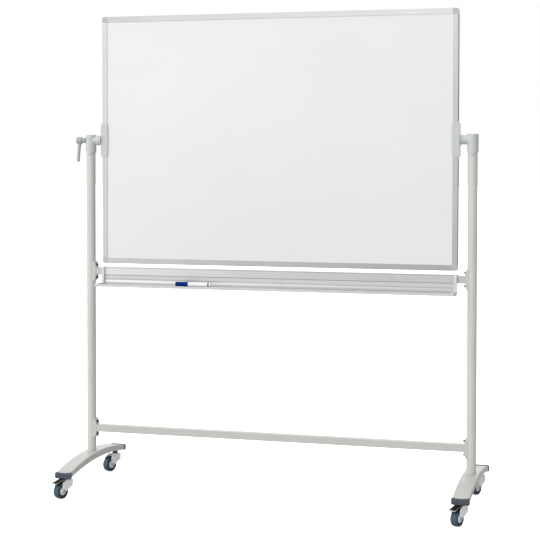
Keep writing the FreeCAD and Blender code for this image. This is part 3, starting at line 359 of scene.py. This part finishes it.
def tread_rubber():
    """Blue-grey tread with floor dust worn into it."""
    s = Shader("tread_look", 0.62)
    base = s.mottled((0.030, 0.082, 0.115), spread=0.14, scale=45.0)
    dust = s.ranged(s.noise(150.0, detail=8.0, roughness=0.75), 0.58, 0.80, 0.0, 0.45)
    s.paint(s.mix(dust, base, (0.11, 0.15, 0.18)))
    s.vary_roughness(spread=0.12, scale=160.0)
    s.bump(s.noise(700.0, detail=4.0), depth=0.15 * MM, strength=0.6)
    return s.material


def end_cap():
    """Slate-blue moulding, with painted shade along its sharpest edges."""
    s = Shader("foot_cap_look", 0.40)
    s.shader.inputs["Sheen Weight"].default_value = 0.12
    base = s.mottled((0.060, 0.074, 0.092), spread=0.05, scale=26.0)
    # Painted shade darkens the cap's sharpest edges.
    s.paint(s.mix(s.edges(0.53, 0.62), base, (0.016, 0.019, 0.024)))
    s.vary_roughness(spread=0.08, scale=120.0)
    s.bump(s.noise(900.0, detail=2.0), depth=0.08 * MM, strength=0.5)
    return s.material


def chipboard():
    """Pressed wood chips, for the panel's core inside its frame."""
    s = Shader("panel_core_look", 0.85)
    chips = s.noise(320.0, detail=4.0, stretch=(2.5, 1.0, 1.0), roughness=0.7)
    s.paint(s.mix(s.ranged(chips, 0.35, 0.65, 0.0, 1.0), (0.34, 0.22, 0.12), (0.62, 0.46, 0.28)))
    s.bump(chips, depth=0.3 * MM, strength=0.6)
    return s.material


# Each rail gets its own copy of the aluminium, with its own painted light and shade along it.
rail_looks = {side: drawn_aluminium(f"frame_rail_look_{side}", *tones)
              for side, tones in RAIL_PAINTED_LIGHT.items()}
# The posts' lighter copy of the stand paint, painted light.
lit_post_look = powder_coat("lit_post_look", POST_LIT_GREY)

# What each of the record's material slots looks like, and the nodes that differ from their slot.
looks = {
    "frame_aluminium": rail_looks["top"],
    "corner_plastic": moulded("frame_corner_look", (0.43, 0.44, 0.45), 0.45),
    "panel_core": chipboard(),
    "writing_lacquer": writing_lacquer(),
    "pivot_casting": powder_coat("pivot_casting_look", (0.49, 0.503, 0.513), 0.32),
    "shaft_steel": steel("shaft_look", (0.60, 0.60, 0.61)),
    "friction_plastic": moulded("friction_ring_look", (0.55, 0.57, 0.585)),
    "bush_plastic": moulded("pivot_bush_look", (0.70, 0.69, 0.64), 0.45),
    "stand_paint": powder_coat("stand_paint_look", STAND_GREY),
    "dark_screw": steel("dark_screw_look", (0.07, 0.07, 0.075), 0.42),
    "anchor_steel": steel("anchor_look", (0.62, 0.61, 0.58)),
    "plug_plastic": moulded("post_plug_look", (0.03, 0.03, 0.033), 0.55),
    "foot_cap_plastic": end_cap(),
    "tray_aluminium": tray_extrusion(),
    "tray_cap_plastic": moulded("tray_cap_look", (0.60, 0.615, 0.62), 0.42),
    "swivel_cover_plastic": moulded("swivel_cover_look", (0.012, 0.012, 0.014), 0.4),
    "lever_plastic": moulded("clamp_lever_look", (0.37, 0.38, 0.39), 0.38),
    "caster_metal": pressed_fork(),
    "axle_steel": steel("caster_axle_look", (0.50, 0.50, 0.51), 0.32),
    "wheel_plastic": moulded("wheel_hub_look", (0.92, 0.88, 0.885), 0.35),
    "tread_rubber": tread_rubber(),
    "pedal_paint": pedal_lacquer(),
    "marker_body_plastic": moulded("marker_barrel_look", (0.80, 0.80, 0.80), 0.25),
    "marker_cap_plastic": moulded("marker_cap_look", (0.0, 0.024, 0.15), 0.35, specular=0.05),
}
own_looks = {f"frame_rail_{side}": look for side, look in rail_looks.items()}
own_looks.update({f"post_{side}": lit_post_look for side in SIDES})

# Near-black for the tyres' sidewalls: painted shade on the tyres' sides.
sidewall_shade_look = moulded("tyre_sidewall_shade_look", (0.016, 0.019, 0.022), 0.6, grain=600.0,
                        depth=0.1 * MM)
bearing_look = moulded("wheel_bearing_look", (0.05, 0.05, 0.055), 0.4)
ring_look = moulded("marker_ring_look", (0.025, 0.027, 0.03), 0.4, specular=0.2)
bright_look = steel("pedal_edge_look", (0.80, 0.80, 0.80))
# Black for the pedals' grips, and for the shoes over the treads, which paint the shade under the crowns.
grip_and_shade_look = moulded("brake_shoe_look", (0.008, 0.008, 0.009), 0.55, specular=0.25)
# Dark grey for the strips of painted shade on the upright rails.
side_shade_look = moulded("frame_side_shade_look", (0.12, 0.123, 0.127), specular=0.2)
race_look = steel("caster_race_look", (0.10, 0.10, 0.11), 0.35)

for part in frame["record"]["subparts"]:
    node = frame["nodes"][part["node"]]
    look = own_looks.get(part["node"], looks[part["material_slot"]])
    if node.material_slots:
        node.material_slots[0].material = look
    else:
        node.data.materials.append(look)


# ------------------------------------------------------------------ mesh helpers
def finish_piece(shape, name, materials, body, sharp=38.0):
    """Turn a bmesh into a smooth piece that rides on a body; sharp is an edge angle in degrees."""
    bmesh.ops.remove_doubles(shape, verts=shape.verts, dist=1e-6)
    bmesh.ops.recalc_face_normals(shape, faces=shape.faces)
    mesh = bpy.data.meshes.new(name)
    shape.to_mesh(mesh)
    shape.free()
    for material in materials:
        mesh.materials.append(material)
    mesh.shade_smooth()
    mesh.set_sharp_from_angle(angle=math.radians(sharp))
    piece = bpy.data.objects.new(name, mesh)
    bpy.context.scene.collection.objects.link(piece)
    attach(piece, body)
    return piece


def frame_at(centre, axis):
    """A matrix whose Z axis is the given axis and whose origin is the given point."""
    return Matrix.Translation(centre) @ Vector(axis).to_track_quat("Z", "X").to_matrix().to_4x4()


def turned_by(i, count):
    """The i-th of count equal turns round Z."""
    return Matrix.Rotation(2 * math.pi * i / count, 4, "Z")


def lathe(shape, profile, spot, steps=72):
    """Spin a closed profile of (radius, height, material index) in mm round Z at a spot."""
    rings = []
    for radius, height, _ in profile:
        ring = []
        for i in range(steps):
            turn = 2 * math.pi * i / steps
            point = Vector((radius * math.cos(turn), radius * math.sin(turn), height)) * MM
            ring.append(shape.verts.new(spot @ point))
        rings.append(ring)
    for low, high, (_, _, index) in zip(rings, rings[1:] + rings[:1], profile):
        for i in range(steps):
            j = (i + 1) % steps
            shape.faces.new((low[i], low[j], high[j], high[i])).material_index = index


def block(shape, low, high, spot, bevel):
    """A rectangular block in mm with rounded edges."""
    made = bmesh.ops.create_cube(shape, size=1.0)
    size = Vector(high) - Vector(low)
    middle = (Vector(high) + Vector(low)) / 2
    placed = spot @ Matrix.Translation(middle * MM) @ Matrix.Diagonal((*(size * MM), 1.0))
    bmesh.ops.transform(shape, matrix=placed, verts=made["verts"])
    edges = {e for v in made["verts"] for e in v.link_edges}
    bmesh.ops.bevel(shape, geom=list(edges), offset=bevel * MM, segments=2,
                    affect="EDGES", profile=0.5)


def soften(node, width):
    """Round the hard edges of a carried-over CAD part with a modifier; the width is in mm."""
    bevel = frame["nodes"][node].modifiers.new("soft_edges", "BEVEL")
    bevel.width = width * MM
    bevel.segments = 2
    bevel.limit_method = "ANGLE"
    bevel.angle_limit = math.radians(40)
    bevel.use_clamp_overlap = True
    bevel.harden_normals = True


# ------------------------------------------------------------------ casters
def joint(name):
    return next(j for j in frame["joints"] if j["name"] == name)


def crown_height(name):
    """The top of a fork's flat crown, in mm; the pressed dome stands above it."""
    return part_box(f"caster_fork_{name}")[1].z / MM - FORK_DOME


def build_tyre(name, spot):
    """A tyre with a shallow groove round its tread, and a dark sidewall that is painted shade, instead of the
    CAD's.
    """
    tread, side = 0, 1
    half = [
        (16.6, 12.4, side), (17.6, 13.2, side), (18.8, 12.7, side), (23.8, 12.9, side),
        (24.8, 13.8, side), (26.2, 14.0, tread), (28.0, 13.6, tread), (29.6, 12.4, tread),
        (30.6, 10.6, tread), (30.9, 8.2, tread), (30.97, 5.0, tread), (31.0, 1.6, tread),
        (30.8, 1.3, tread), (30.8, 0.0, tread),
    ]
    mirrored = [(r, -h, side if r < SIDEWALL_RADIUS else tread) for r, h, _ in reversed(half[:-1])]
    tyre = bmesh.new()
    lathe(tyre, half + mirrored, spot, steps=96)
    piece = finish_piece(tyre, f"tyre_{name}", [looks["tread_rubber"], sidewall_shade_look],
                         f"wheel_{name}", sharp=50.0)
    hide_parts(f"wheel_tyre_{name}")


def build_hub(name, spot):
    """A dished hub with ribs on both faces and a dark bearing, instead of the CAD's."""
    plastic, bearing = 0, 1
    rim = [
        (4.08, 15.1, bearing), (6.6, 15.1, bearing), (7.0, 14.7, plastic), (8.6, 14.3, plastic),
        (8.9, 13.2, plastic), (9.2, 7.4, plastic), (10.0, 6.5, plastic), (12.0, 6.3, plastic),
        (12.9, 7.0, plastic), (13.8, 12.0, plastic), (14.4, 12.8, plastic),
        (16.0, 12.8, plastic), (16.55, 12.2, plastic),
    ]
    hub = bmesh.new()
    lathe(hub, rim + [(r, -h, i) for r, h, i in reversed(rim)], spot)
    for side in (1, -1):
        bottom, top = sorted((side * RIB_FOOT, side * RIB_TOP))
        for i in range(RIB_COUNT):
            block(hub, (RIB_INNER, -RIB_HALF, bottom), (RIB_OUTER, RIB_HALF, top),
                  spot @ turned_by(i, RIB_COUNT), bevel=0.3)
    piece = finish_piece(hub, f"hub_{name}", [looks["wheel_plastic"], bearing_look],
                         f"wheel_{name}")
    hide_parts(f"wheel_hub_{name}")


def build_race(name):
    """The dark ball race round the neck of the swivel cover, drawn up from the fork's crown."""
    x, y, _ = joint(f"caster_swivel_{name}")["pos_m"]
    race = bmesh.new()
    lathe(race, [
        (8.8, 2.0, 0), (11.2, 1.95, 0), (12.0, 2.1, 0), (12.3, 2.6, 0),
        (12.0, 3.2, 0), (11.2, 3.5, 0), (9.4, 3.6, 0), (8.8, 3.3, 0),
    ], Matrix.Translation((x, y, crown_height(name) * MM)), steps=64)
    finish_piece(race, f"swivel_race_{name}", [race_look], f"caster_{name}")


def build_pedal_detail(name):
    """A brake pedal's raised grips, and the bright lip, sides and release tab at its tip."""
    hinge = joint(f"brake_pedal_release_{name}")
    x, y, _ = joint(f"caster_swivel_{name}")["pos_m"]
    turn = math.atan2(hinge["pos_m"][0] - x, -(hinge["pos_m"][1] - y))
    tip = (0.0, -PEDAL_REACH * MM, (crown_height(name) - PEDAL_TIP_DROP) * MM)
    spot = (Matrix.Translation((x, y, 0.0)) @ Matrix.Rotation(turn, 4, "Z")
            @ Matrix.Translation(tip) @ Matrix.Rotation(math.atan2(PEDAL_RISE, PEDAL_RUN), 4, "X"))
    ribs = bmesh.new()
    for i in range(GRIP_COUNT):
        start = GRIP_START + GRIP_PITCH * i
        block(ribs, (-GRIP_HALF, start, -GRIP_SUNK), (GRIP_HALF, start + GRIP_WIDTH, GRIP_PROUD),
              spot, bevel=0.35)
    finish_piece(ribs, f"pedal_ribs_{name}", [grip_and_shade_look], f"pedal_{name}")

    lip = bmesh.new()
    block(lip, *PEDAL_LIP, spot, bevel=0.5)
    block(lip, *PEDAL_TAB, spot, bevel=0.3)
    for side in (-1, 1):
        low, high = sorted((side * STRIP_INNER, side * STRIP_OUTER))
        block(lip, (low, STRIP_START, -STRIP_HALF), (high, STRIP_END, STRIP_HALF), spot, bevel=0.3)
    finish_piece(lip, f"pedal_lip_{name}", [bright_look], f"pedal_{name}")


def build_shoe_and_shade(name, start, end):
    """A black shoe that curves over the tread between the fork's legs, as painted shade under the crown; on a
    front caster it is also the brake shoe.
    """
    x, y, _ = joint(f"caster_swivel_{name}")["pos_m"]
    wheel = Vector(joint(f"wheel_spin_{name}")["pos_m"])
    trail = math.hypot(wheel.x - x, wheel.y - y)
    turn = math.atan2(wheel.x - x, y - wheel.y)
    spot = (Matrix.Translation((x, y, 0.0)) @ Matrix.Rotation(turn, 4, "Z")
            @ Matrix.Translation((0.0, -trail, wheel.z)))
    flat, shoulder = SHOE_HALF - SHOE_CHAMFER, SHOE_OUTER - SHOE_CHAMFER
    section = ((-SHOE_HALF, SHOE_INNER), (SHOE_HALF, SHOE_INNER), (SHOE_HALF, shoulder),
               (flat, SHOE_OUTER), (-flat, SHOE_OUTER), (-SHOE_HALF, shoulder))
    shoe = bmesh.new()
    rows = []
    for i in range(SHOE_STEPS + 1):
        lean = math.radians(start + (end - start) * i / SHOE_STEPS)
        points = [Vector((u, -r * math.sin(lean), r * math.cos(lean))) * MM for u, r in section]
        rows.append([shoe.verts.new(spot @ point) for point in points])
    for low, high in zip(rows, rows[1:]):
        for i in range(len(section)):
            j = (i + 1) % len(section)
            shoe.faces.new((low[i], low[j], high[j], high[i]))
    shoe.faces.new(rows[0])
    shoe.faces.new(rows[-1])
    finish_piece(shoe, f"brake_shoe_{name}", [grip_and_shade_look], f"caster_{name}",
                 sharp=30.0)


for caster in CASTERS:
    spin = joint(f"wheel_spin_{caster}")
    wheel_frame = frame_at(Vector(spin["pos_m"]), spin["axis"])
    build_tyre(caster, wheel_frame)
    build_hub(caster, wheel_frame)
    build_race(caster)
for caster in FRONT_CASTERS:
    build_pedal_detail(caster)
    soften(f"brake_pedal_{caster}", PEDAL_BEVEL)
    build_shoe_and_shade(caster, *FRONT_SHOE_AND_SHADE)
for caster in REAR_CASTERS:
    # The rear casters have no brake: their shoe is painted shade only.
    build_shoe_and_shade(caster, *REAR_SHADE_ARC)


# ------------------------------------------------------------------ board and feet
def build_frame_side_shade(side):
    """Dark strips of painted shade on an upright rail's outer side, off the clamp."""
    low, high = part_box(f"frame_rail_{side}")
    clamp_low, clamp_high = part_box(f"pivot_clamp_{side}")
    outer = (low.x if side == "left" else high.x) / MM
    front, back = low.y / MM + SHADE_STRIP_EDGE, high.y / MM - SHADE_STRIP_EDGE
    shade_strip = bmesh.new()
    for bottom, top in ((low.z, clamp_low.z), (clamp_high.z, high.z)):
        block(shade_strip, (outer - SHADE_STRIP_DEPTH, front, bottom / MM + SHADE_STRIP_END),
              (outer + SHADE_STRIP_DEPTH, back, top / MM - SHADE_STRIP_END), Matrix.Identity(4), bevel=0.1)
    finish_piece(shade_strip, f"frame_side_shade_{side}", [side_shade_look], "board")


def build_cap_rim(name):
    """A moulded rim across the top of a rear foot cap, at its outer end."""
    low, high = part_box(f"foot_cap_rear_{name}")
    fall, half = math.radians(CAP_FALL), (high.x - low.x) / 2 / MM - RIM_EDGE
    end = Vector(((low.x + high.x) / 2, high.y, high.z - (high.y - low.y) * math.tan(fall)))
    spot = Matrix.Translation(end) @ Matrix.Rotation(-fall, 4, "X")
    rim = bmesh.new()
    block(rim, (-half, -RIM_FRONT, -RIM_DROP), (half, -RIM_BACK, RIM_RISE), spot, bevel=1.1)
    finish_piece(rim, f"foot_cap_rim_{name}", [looks["foot_cap_plastic"]], "stand")


for side in SIDES:
    build_frame_side_shade(side)
for side in SIDES:
    build_cap_rim(side)


# ------------------------------------------------------------------ marker
def build_marker_detail():
    """The dark ring round the barrel and the grip flutes round the cap."""
    _, barrel_high = (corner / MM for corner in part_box("marker_barrel"))
    cap_low, cap_high = (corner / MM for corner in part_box("marker_cap"))
    centre = Vector((0.0, (cap_low.y + cap_high.y) / 2 * MM, (cap_low.z + cap_high.z) / 2 * MM))
    along = frame_at(centre, (1.0, 0.0, 0.0))
    end, slope = barrel_high.x, 0.2
    inner, outer = BARREL_RADIUS - RING_SUNK, BARREL_RADIUS + RING_PROUD
    ring = bmesh.new()
    lathe(ring, [
        (inner, end - RING_FAR, 0), (outer, end - RING_FAR + slope, 0),
        (outer, end - RING_NEAR - slope, 0), (inner, end - RING_NEAR, 0),
    ], along)
    finish_piece(ring, "marker_ring", [ring_look], "marker")

    flutes = bmesh.new()
    for i in range(FLUTE_COUNT):
        block(flutes, (FLUTE_INNER, -FLUTE_HALF, cap_low.x + FLUTE_START),
              (FLUTE_OUTER, FLUTE_HALF, cap_high.x - FLUTE_END),
              along @ turned_by(i, FLUTE_COUNT), bevel=0.12)
    finish_piece(flutes, "marker_cap_flutes", [looks["marker_cap_plastic"]], "marker_cap")


build_marker_detail()


# ------------------------------------------------------------------ floor, light and camera
def build_floor():
    """A white paper floor that glows a little, so that it meets the white studio unseen."""
    shape = bmesh.new()
    bmesh.ops.create_grid(shape, x_segments=2, y_segments=2, size=FLOOR_HALF)
    mesh = bpy.data.meshes.new("studio_floor")
    shape.to_mesh(mesh)
    shape.free()
    s = Shader("studio_floor_look", 0.7, specular=0.1)
    seen = s.node("ShaderNodeLightPath").outputs["Is Camera Ray"]
    paper = s.mottled((0.92, 0.92, 0.92), spread=0.004, scale=1.5)
    s.paint(s.mix(seen, FLOOR_BOUNCE, paper))
    s.shader.inputs["Emission Color"].default_value = (1.0, 1.0, 1.0, 1.0)
    s.link(s.times(seen, FLOOR_GLOW), s.shader.inputs["Emission Strength"])
    mesh.materials.append(s.material)
    floor = bpy.data.objects.new("studio_floor", mesh)
    bpy.context.scene.collection.objects.link(floor)


def build_world():
    """A white studio to look at, whose light on the object changes with direction."""
    world = bpy.data.worlds.new("studio")
    world.use_nodes = True
    bpy.context.scene.world = world
    w = Nodes(world.node_tree)
    background = w.tree.nodes["Background"]
    background.inputs["Color"].default_value = (1.0, 1.0, 1.0, 1.0)
    way = w.split(w.node("ShaderNodeTexCoord").outputs["Generated"])
    lit = 1.0
    for axis, *ends in LIGHT_RAMPS:
        lit = w.times(w.ranged(way[axis], *ends, kind="SMOOTHSTEP"), lit)
    seen = w.node("ShaderNodeLightPath").outputs["Is Camera Ray"]
    pick = w.node("ShaderNodeMix")
    w.fill((pick.inputs[0], pick.inputs[2], pick.inputs[3]), (seen, lit, 1.0))
    w.link(pick.outputs[0], background.inputs["Strength"])


def softbox(name, at, towards, width, height, brightness):
    """A soft rectangular light; its power grows with its area, so its face stays as bright."""
    light = bpy.data.lights.new(name, "AREA")
    light.shape = "RECTANGLE"
    light.size = width
    light.size_y = height
    light.energy = brightness * math.pi * width * height
    holder = bpy.data.objects.new(name, light)
    holder.location = at
    aim = Vector(towards) - Vector(at)
    holder.rotation_euler = aim.to_track_quat("-Z", "Y").to_euler()
    bpy.context.scene.collection.objects.link(holder)


def build_camera():
    """A long lens, shifted down to frame the object as the photograph does."""
    data = bpy.data.cameras.new("camera")
    data.sensor_width = SENSOR
    data.lens = FOCAL_LENGTH
    data.shift_y = SHIFT_UP
    data.clip_end = CLIP_END
    camera = bpy.data.objects.new("camera", data)
    bpy.context.scene.collection.objects.link(camera)
    camera.matrix_world = (Matrix.Translation(EYE) @ Matrix.Rotation(YAW, 4, "Z")
                           @ Matrix.Rotation(math.pi / 2 - PITCH, 4, "X")
                           @ Matrix.Rotation(ROLL, 4, "Z"))
    bpy.context.scene.camera = camera


build_floor()
build_world()
softbox("key_softbox", at=(-3.4, -6.0, 3.2), towards=(0.0, 0.0, 1.2),
        width=4.2, height=3.0, brightness=1.0)
softbox("strip_softbox", at=(-4.6, -1.6, 1.6), towards=(0.0, 0.0, 1.1),
        width=0.7, height=3.0, brightness=2.6)
softbox("top_softbox", at=(-0.2, -0.6, 5.0), towards=(-0.2, 0.0, 0.0),
        width=5.0, height=4.0, brightness=0.04)
build_camera()
bpy.context.scene.view_settings.view_transform = "Standard"
bpy.context.scene.view_settings.look = "None"
